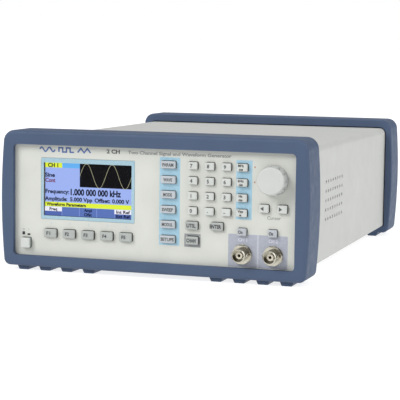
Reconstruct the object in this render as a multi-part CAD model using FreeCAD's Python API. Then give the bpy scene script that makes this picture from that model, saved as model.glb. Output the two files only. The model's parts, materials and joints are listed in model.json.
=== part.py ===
import FreeCAD, Part
import math
import os

# Bench function generator: a sheet-metal case between two moulded bumpers.
# Millimetres. The origin is on the surface the feet stand on, below the middle
# of the object. +Z is up, the control panel faces -Y and +X is to its right.

V = FreeCAD.Vector
X_AXIS = V(1, 0, 0)
Y_AXIS = V(0, 1, 0)
Z_AXIS = V(0, 0, 1)

# ---- driving dimensions ---------------------------------------------------
PANEL_Y = -156.0          # outer face of the control panel
PANEL_Z = 51.5            # height of the control panel's centre
PANEL_T = 3.0             # control panel thickness
OPENING_W = 210.6         # clear opening in a bumper
OPENING_H = 80.6
OPENING_R = 3.0
SHEET = 1.2               # sheet metal thickness
PANEL_PLAY = 0.3          # control panel to the cover around it
REAR_PLAY = 0.2           # rear panel to the cover around it
HOLE_PLAY = 0.15          # bushings in their holes, radial
SCREW_PLAY = 0.2          # screws in sheet metal, radial
SCREW_FIT = 0.1           # screws in boards and moulded parts, radial

CASE_HALF_W = 108.5
CASE_BOTTOM = 9.7
CASE_TOP = 94.5
CASE_FOLD_R = 5.0         # outside radius of the cover's two folds
CASE_FRONT_Y = PANEL_Y + PANEL_T
CASE_REAR_Y = 155.0       # outer face of the rear panel

BUMPER_DEPTH = 32.0
BUMPER_HALF_W = 115.3     # at mid height, where the sides bulge most
BUMPER_TOP_HALF_W = 112.8
BUMPER_BOTTOM_HALF_W = 112.9
BUMPER_TOP = 101.9
BUMPER_BOTTOM = 3.2
BUMPER_CROWN = 0.15       # rise of the top and bottom from corner to middle
BUMPER_TOP_R = 8.5        # corner radii
BUMPER_BOTTOM_R = 5.0
BUMPER_EDGE_R = 2.6       # rounding of the outer face's rim
BUMPER_INNER_EDGE_R = 1.2
SHADOW_GAP = 0.9          # bumper to case, at the bumper's open edge
SHADOW_GAP_DEPTH = 6.0
FRONT_LIP = 4.0           # bumper stands this far proud of the control panel
REAR_LIP = 11.5

FOOT_X = (48.0, 65.0, 82.0, 99.0)
FOOT_TOP_W = 10.0
FOOT_BOTTOM_W = 7.0
FOOT_SET_BACK = 5.0       # from the bumper's outer face
FOOT_TAIL = 1.2           # from the bumper's inner edge
FOOT_SINK = 1.5           # the rib reaches this far up into the bumper
FOOT_EDGE_R = 0.6

CUT = 1.0                 # every cut runs this far past the face that it opens

KEY_PROUD = 2.5           # key cap above the panel face
KEY_GAP = 0.35            # cap to panel, all round
KEY_CORNER_R = 0.8
KEY_RIM_R = 0.5
KEY_TRAVEL = 1.2
KEY_FLANGE = 1.0          # flange beyond the cap, all round
KEY_FLANGE_T = 1.0
KEY_FLANGE_PLAY = 0.1     # flange to the back of the panel
KEY_STEM_R = 1.6
SWITCH_CLEAR = 0.3        # stem to switch with the key fully down

POWER_TRAVEL = 2.5
POWER_PROUD = 3.8
SWITCH_H = 2.0            # switch body and plunger above the keypad board
SWITCH_BODY_H = 1.2
SWITCH_SIZE = 5.0
SWITCH_CORNER_R = 0.4
SWITCH_PLUNGER_R = 1.5

ROW_TOP = 29.4            # first row of keys, above the panel centre
ROW_PITCH = 10.5
MENU_X = 12.8
DIGIT_X = 30.95
DIGIT_PITCH = 12.2
UNIT_X = 66.7
SOFT_X = -47.9
SOFT_PITCH = 14.5
SOFT_Z = -23.4

SMALL_KEY = (6.6, 5.2)
MENU_KEY = (10.8, 5.2)
UNIT_KEY = (7.6, 5.2)
SOFT_KEY = (9.5, 6.0)
WIDE_KEY = (8.9, 5.6)
CURSOR_KEY = (6.9, 5.6)
OUTPUT_KEY = (6.4, 5.2)
POWER_KEY = (6.9, 7.2)
POWER_AT = (-96.0, -31.2)
UTILITY_AT = (30.5, -12.5)
ENTER_AT = (49.0, -12.3)
CHANNEL_AT = (30.9, -23.0)
CURSOR_X = (82.6, 95.7)
CURSOR_Z = 1.8
OUTPUT_KEY_X = (67.1, 89.0)
OUTPUT_KEY_Z = -15.2

WINDOW_X = (-85.0, -12.7)         # display window, from the panel centre
WINDOW_Z = (-13.6, 31.0)
WINDOW_T = 1.5
WINDOW_R = 1.0
WINDOW_GAP = 0.15
SCREEN_X = (-82.3, -15.3)         # lit area of the display
SCREEN_Z = (-10.8, 27.4)
SCREEN_MARGIN = 0.5
SCREEN_SET_BACK = 0.3     # display glass behind the window
DISPLAY_PLAY = 0.1        # display frame to the back of the panel
DISPLAY_FRAME_MARGIN = 4.5
DISPLAY_SPACER_R = 2.5
DISPLAY_SPACER_H = 1.5
DISPLAY_SPACER_INSET = 6.0

BOARD_T = 1.6
KEYBOARD_Y = -144.0       # front face of the keypad board
KEYBOARD_HALF = (103.5, 37.5)
KEYBOARD_CORNER_R = 2.0
HEADER_T = 6.0            # ribbon cable headers
HEADER_HALF = 4.0
HEADER_MARGIN = 2.0       # header beyond the cable, each side

KNOB_X = 88.8
KNOB_Z = 21.4
KNOB_BASE_R = 10.45
KNOB_FACE_R = 9.7
KNOB_HEIGHT = 8.8
KNOB_LIFT = 0.8           # knob to panel
KNOB_RIM_R = 1.6
KNOB_NOTCHES = 12
KNOB_NOTCH_R = 1.1
KNOB_NOTCH_OUT = 0.1      # notch centres outside the knob's base circle
SHAFT_R = 3.0
SHAFT_FIT = 0.05          # radial running clearance in the encoder bushing
BUSHING_R = 3.5
BUSHING_PROUD = 4.4       # bushing over the panel
KNOB_WALL = 2.2
KNOB_CAVITY_DEPTH = 4.4
KNOB_BORE_DEPTH = 6.8     # the shaft's bore, from the knob's back
KNOB_NOTCH_TAIL = 1.6     # notches stop this short of the knob's back
SHAFT_PRESS = 0.02        # the knob's bore over the shaft, radial
ENCODER_SIZE = (12.5, 13.2)
ENCODER_CORNER_R = 0.5
ENCODER_SHAFT_SHORT = 2.0  # shaft end to the keypad board
ENCODER_BORE_SHORT = 1.5
ENCODER_NUT_AF = 10.0
ENCODER_NUT_T = 2.0

OUTPUT_X = (67.2, 89.3)   # front coaxial sockets
OUTPUT_Z = -30.8
REAR_SOCKET_X = (-8.0, 18.0)
REAR_SOCKET_Z = -6.0
SOCKET_R = 4.8
SOCKET_LENGTH = 10.5
SOCKET_BORE_R = 4.05
SOCKET_BORE_DEPTH = 8.0
SOCKET_LUG_R = 1.0
SOCKET_LUG_TIP = 5.55
SOCKET_LUG_SET_BACK = 3.6
SOCKET_THREAD_R = 4.75
SOCKET_NUT_AF = 12.8
SOCKET_NUT_T = 2.2
NUT_CORNER_SHARE = 0.975  # a nut's chamfer circle over its corner circle
NUT_CHAMFER = 0.35
SOCKET_WASHER_R = 7.0
SOCKET_WASHER_T = 0.8
SOCKET_BODY = 12.0        # square body behind the panel
SOCKET_BODY_DEPTH = 7.0
SOCKET_BODY_PLAY = 0.5    # body to the keypad board around it
SOCKET_BODY_R = 0.8
SOCKET_LIP = 0.4          # chamfer of the shell's rim
INSULATOR_TAIL = 1.5      # insulator and contact behind the body
CONTACT_TAIL = 4.0
CONTACT_SET_BACK = 0.3    # from the insulator's face
INSULATOR_R = 2.35
INSULATOR_SET_BACK = 2.6
CONTACT_R = 1.1
CONTACT_BORE_R = 0.65
CONTACT_BORE_DEPTH = 5.0

INLET_X = -68.0
INLET_Z = -2.0
INLET_FLANGE = (50.0, 24.0)
INLET_FLANGE_T = 2.4
INLET_BODY = (28.0, 20.5)
INLET_BODY_DEPTH = 21.0
INLET_CAVITY = (24.4, 16.8)
INLET_CAVITY_DEPTH = 16.5
INLET_SCREW_PITCH = 40.0
PIN_SIZE = (2.0, 4.0)
PIN_REACH = 15.0
PIN_PLACES = ((-7.0, -2.0), (0.0, 2.0), (7.0, -2.0))
INLET_FLANGE_R = 3.0
INLET_BODY_R = 1.0
INLET_BODY_PLAY = 0.3     # body to the rear panel's opening
INLET_KEYWAY = 4.0        # chamfer of the cavity's upper corners
PIN_TAIL = 6.0            # pins behind the body
PIN_CHAMFER = 0.5
FUSE_DRAWER = (25.0, 9.0)
FUSE_DRAWER_R = 0.8
FUSE_DRAWER_PLAY = 1.3    # pocket to the rear panel's opening
FUSE_DRAWER_RIM = 2.0     # drawer front beyond its pocket
FUSE_GRIP = (12.5, 2.0)
FUSE_GRIP_DEPTH = 1.2
FUSE_DRAWER_DEPTH = 16.0
FUSE_DRAWER_DROP = 18.5

FAN_X = 62.0
FAN_Z = 0.0
FAN_SIZE = 40.0
FAN_DEPTH = 10.0
FAN_DUCT_R = 19.0
FAN_BLADE_R = 18.4
FAN_HUB_R = 9.0
FAN_BLADES = 7
FAN_SHAFT_R = 1.5
FAN_HOLE_PITCH = 32.0
FAN_CORNER_R = 3.0
FAN_BOSS_T = 1.6          # motor boss and its three struts
FAN_STRUTS = 3
FAN_STRUT_HALF = 1.0
FAN_PLAY = 0.4            # rotor to the boss
FAN_TAIL = 0.8            # rotor to the rear panel
FAN_HUB_EDGE_R = 0.8
BLADE_CHORD = 10.4
BLADE_T = 1.2
BLADE_PITCH = 32.0
BLADE_TRIM = 0.2          # blades short of the hub's ends
GRILLE_HOLE_R = 1.7
GRILLE_PITCH = 4.6
GRILLE_R = 17.0

VENT_ROWS = 5
VENT_COLUMNS = 8
VENT_R = 1.4
VENT_ROW_PITCH = 6.9
VENT_COLUMN_PITCH = 7.45
VENT_FIRST_Y = -83.2
VENT_TOP_Z = 66.5

TRAY_FLANGE = 14.0        # height of the tray's turned-up sides
TRAY_FLANGE_SET_BACK = 12.0
STANDOFF_H = 8.0
STANDOFF_R = 2.75
BOARD_Z = CASE_BOTTOM + SHEET + STANDOFF_H
MAIN_BOARD = (-14.0, 102.0, -118.0, 118.0)      # x from, x to, y from, y to
POWER_BOARD = (-102.0, -20.0, -4.0, 126.0)
BOARD_SCREW_INSET = 5.0

# Blocks on the boards: x from, x to, y from, y to and height above the board.
SHIELD_CANS = ((38.0, 62.0, -95.0, -40.0, 12.0), (66.0, 90.0, -95.0, -40.0, 12.0))
SHIELD_CORNER_R = 0.6
LOGIC_CHIPS = ((0.0, 24.0, -30.0, -6.0, 2.2), (40.0, 60.0, -20.0, 0.0, 1.8), (72.0, 90.0, -20.0, -2.0, 1.8),
               (4.0, 18.0, 20.0, 34.0, 1.6), (4.0, 18.0, 42.0, 56.0, 1.6), (4.0, 18.0, 64.0, 78.0, 1.6))
TRANSFORMER_CORE = (-74.0, -38.0, 40.0, 76.0, 30.0)
TRANSFORMER_WINDING = (-80.0, -32.0, 47.0, 69.0, 24.0)
HEAT_SINK = (-98.0, -92.0, 12.0, 82.0, 32.0)
FIN_REACH = 8.0
FIN_T = 1.6
FIN_PITCH = 6.0
FIN_LIFT = 4.0            # fins above the board
# Round parts on the boards: x, y, radius and height.
MAIN_CANS = ((44.0, 100.0, 4.0, 11.0), (56.0, 100.0, 4.0, 11.0), (68.0, 100.0, 4.0, 11.0))
POWER_CANS = ((-56.0, 100.0, 9.0, 28.0), (-34.0, 100.0, 9.0, 28.0),
              (-66.0, 18.0, 7.0, 12.0), (-44.0, 18.0, 7.0, 12.0))

SCREW_HEAD_R = 2.9
SCREW_HEAD_T = 1.8
SCREW_R = 1.5
SCREW_LENGTH = 7.0
SCREW_EDGE_R = 0.9
SCREW_CROSS = (3.2, 0.7)
SCREW_CROSS_DEPTH = 1.0
TRAY_SCREW_Y = (-110.0, 110.0)
TRAY_SCREW_X = 90.0
REAR_SCREW_X = 98.0
REAR_SCREW_Z = 33.0

RIBBON_X = (0.0, 27.0)
RIBBON_T = 0.9
RIBBON_BEND_R = 8.0
RIBBON_START_Z = 46.0
RIBBON_DROP_Y = -112.0


# ---- helpers --------------------------------------------------------------
def block(x0, x1, y0, y1, z0, z1):
    return Part.makeBox(x1 - x0, y1 - y0, z1 - z0, V(x0, y0, z0))


def edges_along(shape, axis):
    return [e for e in shape.Edges
            if len(e.Vertexes) == 2
            and abs((e.Vertexes[1].Point - e.Vertexes[0].Point).normalize().dot(axis)) > 0.999]


def edges_in_plane_y(shape, y):
    return [e for e in shape.Edges
            if abs(e.BoundBox.YMin - y) < 1e-3 and abs(e.BoundBox.YMax - y) < 1e-3]


def plate(centre_x, centre_z, width, height, y0, y1, corner_r=0.0):
    """A block facing -Y, with its four corners rounded."""
    shape = block(centre_x - width / 2, centre_x + width / 2, y0, y1,
                  centre_z - height / 2, centre_z + height / 2)
    if corner_r:
        shape = shape.makeFillet(corner_r, edges_along(shape, Y_AXIS))
    return shape


def rod(x, z, r, y0, y1):
    """A cylinder along Y."""
    return Part.makeCylinder(r, y1 - y0, V(x, y0, z), Y_AXIS)


def upright(x, y, r, z0, z1):
    """A cylinder along Z."""
    return Part.makeCylinder(r, z1 - z0, V(x, y, z0), Z_AXIS)


def hexagon(x, z, across_flats, y0, y1):
    """A hexagonal bar along Y, with its ends chamfered by its corner circle."""
    corner = across_flats / math.sqrt(3)
    points = [V(x + corner * math.cos(math.radians(60 * k)), y0,
                z + corner * math.sin(math.radians(60 * k))) for k in range(7)]
    bar = Part.Face(Part.makePolygon(points)).extrude(V(0, y1 - y0, 0))
    rim = rod(x, z, corner * NUT_CORNER_SHARE, y0, y1)
    rim = rim.makeChamfer(NUT_CHAMFER, edges_in_plane_y(rim, y0) + edges_in_plane_y(rim, y1))
    return bar.common(rim)


def mirror_y(shape, y):
    return shape.mirror(V(0, y, 0), Y_AXIS)


def save(name, *solids):
    shape = solids[0] if len(solids) == 1 else Part.makeCompound(list(solids))
    shape.exportStep("parts/" + name + ".step")


def at_panel(x, z):
    """Panel coordinates, from the panel's centre, to the object's x and z."""
    return x, z + PANEL_Z


# ---- case -----------------------------------------------------------------
def case_profile(inset, bottom, y0, y1):
    """The case's outline as a solid: square at the bottom, folded at the top."""
    shape = block(-CASE_HALF_W + inset, CASE_HALF_W - inset, y0, y1, bottom, CASE_TOP - inset)
    top_edges = [e for e in edges_along(shape, Y_AXIS) if e.CenterOfMass.z > PANEL_Z]
    return shape.makeFillet(CASE_FOLD_R - inset, top_edges)


def vent_holes(x0, x1):
    holes = []
    for row in range(VENT_ROWS):
        for column in range(VENT_COLUMNS):
            place = V(x0, VENT_FIRST_Y + column * VENT_COLUMN_PITCH, VENT_TOP_Z - row * VENT_ROW_PITCH)
            holes.append(Part.makeCylinder(VENT_R, x1 - x0, place, X_AXIS))
    return holes


def top_cover():
    shell = case_profile(0.0, CASE_BOTTOM, CASE_FRONT_Y, CASE_REAR_Y)
    inside = case_profile(SHEET, CASE_BOTTOM - CUT, CASE_FRONT_Y - CUT, CASE_REAR_Y + CUT)
    wall = (CASE_HALF_W - SHEET - CUT, CASE_HALF_W + CUT)
    holes = vent_holes(wall[0], wall[1]) + vent_holes(-wall[1], -wall[0])
    return shell.cut(inside).cut(Part.makeCompound(holes))


def chassis_tray():
    half = CASE_HALF_W - SHEET
    rear = CASE_REAR_Y - SHEET
    floor = block(-half, half, CASE_FRONT_Y, rear, CASE_BOTTOM, CASE_BOTTOM + SHEET)
    flange_top = CASE_BOTTOM + TRAY_FLANGE
    tray = floor
    for side in (-1, 1):
        edge = sorted((side * half, side * (half - SHEET)))
        flange = block(edge[0], edge[1], CASE_FRONT_Y + TRAY_FLANGE_SET_BACK, rear, CASE_BOTTOM, flange_top)
        tray = tray.fuse(flange)
    for x in (-TRAY_SCREW_X, TRAY_SCREW_X):
        for y in TRAY_SCREW_Y:
            tray = tray.cut(upright(x, y, SCREW_R + SCREW_PLAY, CASE_BOTTOM - CUT, CASE_BOTTOM + SHEET + CUT))
    return tray.removeSplitter()


# ---- bumpers --------------------------------------------------------------
def bumper_block(y0, y1):
    """The solid outline of a bumper: slightly bulging sides and rounded corners."""
    top, bottom = BUMPER_TOP - BUMPER_CROWN, BUMPER_BOTTOM + BUMPER_CROWN
    middle = (top + bottom) / 2
    low, high, bulge = BUMPER_BOTTOM_HALF_W, BUMPER_TOP_HALF_W, BUMPER_HALF_W
    corners = [V(-low, y0, bottom), V(low, y0, bottom), V(high, y0, top), V(-high, y0, top)]
    mids = [V(0, y0, BUMPER_BOTTOM), V(bulge, y0, middle), V(0, y0, BUMPER_TOP), V(-bulge, y0, middle)]
    sides = [Part.Arc(corners[k], mids[k], corners[(k + 1) % 4]).toShape() for k in range(4)]
    shape = Part.Face(Part.Wire(sides)).extrude(V(0, y1 - y0, 0))
    for radius, upper in ((BUMPER_TOP_R, True), (BUMPER_BOTTOM_R, False)):
        edges = [e for e in edges_along(shape, Y_AXIS) if (e.CenterOfMass.z > middle) == upper]
        sharp = [e for e in edges if min(e.CenterOfMass.z - bottom, top - e.CenterOfMass.z) < 0.01]
        shape = shape.makeFillet(radius, sharp)
    shape = shape.makeFillet(BUMPER_EDGE_R, edges_in_plane_y(shape, y0))
    return shape.makeFillet(BUMPER_INNER_EDGE_R, edges_in_plane_y(shape, y1))


def foot_rib(x, y0, y1):
    """A moulded rib under a bumper, wider at its root than where it stands."""
    root = BUMPER_BOTTOM + FOOT_SINK
    spread = (FOOT_TOP_W - FOOT_BOTTOM_W) / 2 * root / BUMPER_BOTTOM
    half = FOOT_BOTTOM_W / 2
    ring = [V(x - half, y0, 0), V(x + half, y0, 0), V(x + half + spread, y0, root),
            V(x - half - spread, y0, root), V(x - half, y0, 0)]
    rib = Part.Face(Part.makePolygon(ring)).extrude(V(0, y1 - y0, 0))
    return rib.makeFillet(FOOT_EDGE_R, [e for e in rib.Edges if e.BoundBox.ZMax < 1e-3])


def bumper(face_y, lip):
    """A bumper whose outer face is at face_y, open towards +Y."""
    back_y = face_y + BUMPER_DEPTH
    shape = bumper_block(face_y, back_y)
    shape = shape.cut(plate(0, PANEL_Z, OPENING_W, OPENING_H, face_y - CUT, back_y + CUT, OPENING_R))
    shape = shape.cut(case_profile(0.0, CASE_BOTTOM, face_y + lip, back_y + CUT))
    gap_floor = CASE_BOTTOM - SHADOW_GAP
    shape = shape.cut(case_profile(-SHADOW_GAP, gap_floor, back_y - SHADOW_GAP_DEPTH, back_y + CUT))
    for x in FOOT_X:
        for side in (-1, 1):
            shape = shape.fuse(foot_rib(side * x, face_y + FOOT_SET_BACK, back_y - FOOT_TAIL))
    return shape.removeSplitter()


def front_bumper():
    return bumper(PANEL_Y - FRONT_LIP, FRONT_LIP)


def rear_bumper():
    return mirror_y(bumper(-CASE_REAR_Y - REAR_LIP, REAR_LIP), 0)


# ---- keys -----------------------------------------------------------------
def key_layout():
    """Every key as name: (x, z, (width, height)), from the panel's centre."""
    keys = {"key_power": POWER_AT + (POWER_KEY,)}
    for k in range(5):
        keys["key_f%d" % (k + 1)] = (SOFT_X + (k - 2) * SOFT_PITCH, SOFT_Z, SOFT_KEY)
    menu = ("param", "wave", "mode", "sweep", "modulation", "setups")
    for row, name in enumerate(menu):
        keys["key_" + name] = (MENU_X, ROW_TOP - row * ROW_PITCH, MENU_KEY)
    digits = (("digit_7", "digit_8", "digit_9"), ("digit_4", "digit_5", "digit_6"),
              ("digit_1", "digit_2", "digit_3"), ("digit_0", "point", "sign"))
    for row, names in enumerate(digits):
        for column, name in enumerate(names):
            place = (DIGIT_X + column * DIGIT_PITCH, ROW_TOP - row * ROW_PITCH)
            keys["key_" + name] = place + (SMALL_KEY,)
    for row in range(4):
        keys["key_unit_%d" % (row + 1)] = (UNIT_X, ROW_TOP - row * ROW_PITCH, UNIT_KEY)
    for name, place in (("utility", UTILITY_AT), ("enter", ENTER_AT), ("channel", CHANNEL_AT)):
        keys["key_" + name] = place + (WIDE_KEY,)
    for name, x in zip(("left", "right"), CURSOR_X):
        keys["key_cursor_" + name] = (x, CURSOR_Z, CURSOR_KEY)
    for name, x in zip(("1", "2"), OUTPUT_KEY_X):
        keys["key_output_" + name] = (x, OUTPUT_KEY_Z, OUTPUT_KEY)
    return keys


KEYS = key_layout()


def key_travel(name):
    return POWER_TRAVEL if name == "key_power" else KEY_TRAVEL


def key_cap(name):
    """A cap with a soft rim, a retaining flange behind the panel and a stem."""
    x, z, (width, height) = KEYS[name]
    x, z = at_panel(x, z)
    proud = POWER_PROUD if name == "key_power" else KEY_PROUD
    flange_y = CASE_FRONT_Y + KEY_FLANGE_PLAY
    stem_end = KEYBOARD_Y - SWITCH_H - key_travel(name) - SWITCH_CLEAR
    cap = plate(x, z, width, height, PANEL_Y - proud, flange_y, KEY_CORNER_R)
    cap = cap.makeFillet(KEY_RIM_R, edges_in_plane_y(cap, PANEL_Y - proud))
    flange = plate(x, z, width + 2 * KEY_FLANGE, height + 2 * KEY_FLANGE,
                   flange_y, flange_y + KEY_FLANGE_T, KEY_CORNER_R)
    stem = rod(x, z, KEY_STEM_R, flange_y + KEY_FLANGE_T, stem_end)
    return cap.fuse([flange, stem]).removeSplitter()


def key_switch(x, z):
    body = plate(x, z, SWITCH_SIZE, SWITCH_SIZE, KEYBOARD_Y - SWITCH_BODY_H, KEYBOARD_Y,
                 SWITCH_CORNER_R)
    return body.fuse(rod(x, z, SWITCH_PLUNGER_R, KEYBOARD_Y - SWITCH_H, KEYBOARD_Y - SWITCH_BODY_H))


# ---- front assembly -------------------------------------------------------
def front_panel():
    width = 2 * (CASE_HALF_W - PANEL_PLAY)
    height = CASE_TOP - CASE_BOTTOM - 2 * PANEL_PLAY
    shape = plate(0, (CASE_TOP + CASE_BOTTOM) / 2, width, height, PANEL_Y, CASE_FRONT_Y, CASE_FOLD_R)
    cuts = []
    for x, z, (key_w, key_h) in KEYS.values():
        cuts.append(plate(*at_panel(x, z), key_w + 2 * KEY_GAP, key_h + 2 * KEY_GAP,
                          PANEL_Y - CUT, CASE_FRONT_Y + CUT, KEY_CORNER_R + KEY_GAP))
    window_x, window_z = at_panel(sum(WINDOW_X) / 2, sum(WINDOW_Z) / 2)
    window_w = WINDOW_X[1] - WINDOW_X[0]
    window_h = WINDOW_Z[1] - WINDOW_Z[0]
    cuts.append(plate(window_x, window_z, window_w, window_h, PANEL_Y - CUT, PANEL_Y + WINDOW_T, WINDOW_R))
    cuts.append(screen_block(2 * SCREEN_MARGIN, PANEL_Y, CASE_FRONT_Y + CUT))
    for x in OUTPUT_X:
        cuts.append(rod(*at_panel(x, OUTPUT_Z), SOCKET_THREAD_R + HOLE_PLAY,
                        PANEL_Y - CUT, CASE_FRONT_Y + CUT))
    cuts.append(rod(*at_panel(KNOB_X, KNOB_Z), BUSHING_R + HOLE_PLAY, PANEL_Y - CUT, CASE_FRONT_Y + CUT))
    return shape.cut(cuts)


def screen_block(margin, y0, y1):
    """The lit area of the display, grown by a margin, as a block."""
    x, z = at_panel(sum(SCREEN_X) / 2, sum(SCREEN_Z) / 2)
    width = SCREEN_X[1] - SCREEN_X[0] + 2 * margin
    height = SCREEN_Z[1] - SCREEN_Z[0] + 2 * margin
    return plate(x, z, width, height, y0, y1)


def display_window():
    x, z = at_panel(sum(WINDOW_X) / 2, sum(WINDOW_Z) / 2)
    width = WINDOW_X[1] - WINDOW_X[0] - 2 * WINDOW_GAP
    height = WINDOW_Z[1] - WINDOW_Z[0] - 2 * WINDOW_GAP
    return plate(x, z, width, height, PANEL_Y, PANEL_Y + WINDOW_T, WINDOW_R)


def display_module():
    """The display's glass stands in the panel's opening; its metal frame is behind."""
    glass = screen_block(SCREEN_MARGIN, PANEL_Y + WINDOW_T + SCREEN_SET_BACK,
                         CASE_FRONT_Y + DISPLAY_PLAY)
    back = KEYBOARD_Y - DISPLAY_SPACER_H
    frame = screen_block(DISPLAY_FRAME_MARGIN, CASE_FRONT_Y + DISPLAY_PLAY, back)
    inset = DISPLAY_SPACER_INSET
    spacers = []
    for x in (SCREEN_X[0] + inset, SCREEN_X[1] - inset):
        for z in (SCREEN_Z[0] + inset, SCREEN_Z[1] - inset):
            spacers.append(rod(*at_panel(x, z), DISPLAY_SPACER_R, back, KEYBOARD_Y))
    return [glass, frame] + spacers


def keypad_board():
    half_w, half_h = KEYBOARD_HALF
    back = KEYBOARD_Y + BOARD_T
    board = plate(0, PANEL_Z, 2 * half_w, 2 * half_h, KEYBOARD_Y, back, KEYBOARD_CORNER_R)
    hole = SOCKET_BODY + 2 * SOCKET_BODY_PLAY
    holes = [plate(*at_panel(x, OUTPUT_Z), hole, hole, KEYBOARD_Y - CUT, back + CUT) for x in OUTPUT_X]
    board = board.cut(holes)
    switches = [key_switch(*at_panel(x, z)) for x, z, size in KEYS.values()]
    header = block(RIBBON_X[0] - HEADER_MARGIN, RIBBON_X[1] + HEADER_MARGIN, back, back + HEADER_T,
                   RIBBON_START_Z - HEADER_HALF, RIBBON_START_Z + HEADER_HALF)
    return [board, header] + switches


# ---- tuning knob ----------------------------------------------------------
KNOB_BACK_Y = PANEL_Y - KNOB_LIFT
KNOB_FRONT_Y = KNOB_BACK_Y - KNOB_HEIGHT
SHAFT_END_Y = KNOB_BACK_Y - KNOB_BORE_DEPTH
BUSHING_END_Y = PANEL_Y - BUSHING_PROUD


def tuning_knob():
    x, z = at_panel(KNOB_X, KNOB_Z)
    body = Part.makeCone(KNOB_FACE_R, KNOB_BASE_R, KNOB_HEIGHT, V(x, KNOB_FRONT_Y, z), Y_AXIS)
    body = body.makeFillet(KNOB_RIM_R, edges_in_plane_y(body, KNOB_FRONT_Y))
    cuts = [rod(x, z, KNOB_BASE_R - KNOB_WALL, KNOB_BACK_Y - KNOB_CAVITY_DEPTH, KNOB_BACK_Y + CUT),
            rod(x, z, SHAFT_R + SHAFT_PRESS, SHAFT_END_Y, KNOB_BACK_Y)]
    for k in range(KNOB_NOTCHES):
        angle = 2 * math.pi * k / KNOB_NOTCHES
        reach = KNOB_BASE_R + KNOB_NOTCH_OUT
        start = V(x + reach * math.cos(angle), KNOB_FRONT_Y - CUT, z + reach * math.sin(angle))
        cuts.append(Part.makeCylinder(KNOB_NOTCH_R, KNOB_HEIGHT + CUT - KNOB_NOTCH_TAIL, start, Y_AXIS))
    return body.cut(cuts)


def encoder_shaft():
    x, z = at_panel(KNOB_X, KNOB_Z)
    return rod(x, z, SHAFT_R, SHAFT_END_Y, KEYBOARD_Y - ENCODER_SHAFT_SHORT)


def encoder_body():
    """A square housing behind the panel with a threaded bushing through it."""
    x, z = at_panel(KNOB_X, KNOB_Z)
    housing = plate(x, z, *ENCODER_SIZE, CASE_FRONT_Y, KEYBOARD_Y, ENCODER_CORNER_R)
    bushing = rod(x, z, BUSHING_R, BUSHING_END_Y, CASE_FRONT_Y)
    bore = rod(x, z, SHAFT_R + SHAFT_FIT, BUSHING_END_Y - CUT, KEYBOARD_Y - ENCODER_BORE_SHORT)
    return housing.fuse(bushing).cut(bore).removeSplitter()


# ---- coaxial sockets, drawn facing -Y from a panel face at y = 0 ------------
def socket_shell(panel_t):
    shell = rod(0, 0, SOCKET_R, -SOCKET_LENGTH, 0)
    shell = shell.makeChamfer(SOCKET_LIP, edges_in_plane_y(shell, -SOCKET_LENGTH))
    lug_y = -SOCKET_LENGTH + SOCKET_LUG_SET_BACK
    lug = Part.makeCylinder(SOCKET_LUG_R, 2 * SOCKET_LUG_TIP, V(-SOCKET_LUG_TIP, lug_y, 0), X_AXIS)
    thread = rod(0, 0, SOCKET_THREAD_R, 0, panel_t)
    body = plate(0, 0, SOCKET_BODY, SOCKET_BODY, panel_t, panel_t + SOCKET_BODY_DEPTH, SOCKET_BODY_R)
    bore = rod(0, 0, SOCKET_BORE_R, -SOCKET_LENGTH - CUT, -SOCKET_LENGTH + SOCKET_BORE_DEPTH)
    core = rod(0, 0, INSULATOR_R, -SOCKET_LENGTH, panel_t + SOCKET_BODY_DEPTH + CUT)
    return shell.fuse([lug, thread, body]).cut([bore, core]).removeSplitter()


def socket_insulator(panel_t):
    end = panel_t + SOCKET_BODY_DEPTH + INSULATOR_TAIL
    sleeve = rod(0, 0, INSULATOR_R, -SOCKET_LENGTH + INSULATOR_SET_BACK, end)
    return sleeve.cut(rod(0, 0, CONTACT_R, -SOCKET_LENGTH - CUT, end + CUT))


def socket_contact(panel_t):
    front = -SOCKET_LENGTH + INSULATOR_SET_BACK + CONTACT_SET_BACK
    pin = rod(0, 0, CONTACT_R, front, panel_t + SOCKET_BODY_DEPTH + CONTACT_TAIL)
    return pin.cut(rod(0, 0, CONTACT_BORE_R, front - CUT, front + CONTACT_BORE_DEPTH))


def socket_nut(panel_t):
    nut = hexagon(0, 0, SOCKET_NUT_AF, -SOCKET_WASHER_T - SOCKET_NUT_T, -SOCKET_WASHER_T)
    washer = rod(0, 0, SOCKET_WASHER_R, -SOCKET_WASHER_T, 0)
    return nut.fuse(washer).cut(rod(0, 0, SOCKET_R, -SOCKET_LENGTH, CUT)).removeSplitter()


def at_sockets(make):
    """Two sockets on the control panel and two, turned about, on the rear panel."""
    shapes = []
    for socket_x in OUTPUT_X:
        x, z = at_panel(socket_x, OUTPUT_Z)
        shapes.append(make(PANEL_T).translated(V(x, PANEL_Y, z)))
    for socket_x in REAR_SOCKET_X:
        x, z = at_panel(socket_x, REAR_SOCKET_Z)
        shapes.append(mirror_y(make(SHEET), 0).translated(V(x, CASE_REAR_Y, z)))
    return shapes


def panel_nuts():
    x, z = at_panel(KNOB_X, KNOB_Z)
    encoder_nut = hexagon(x, z, ENCODER_NUT_AF, PANEL_Y - ENCODER_NUT_T, PANEL_Y)
    encoder_nut = encoder_nut.cut(rod(x, z, BUSHING_R, PANEL_Y - ENCODER_NUT_T - CUT, PANEL_Y + CUT))
    return at_sockets(socket_nut) + [encoder_nut]


# ---- rear assembly --------------------------------------------------------
INLET_FACE_Y = CASE_REAR_Y + INLET_FLANGE_T
FAN_BACK_Y = CASE_REAR_Y - SHEET          # the fan is screwed to the rear panel's inside
FAN_FRONT_Y = FAN_BACK_Y - FAN_DEPTH


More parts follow.
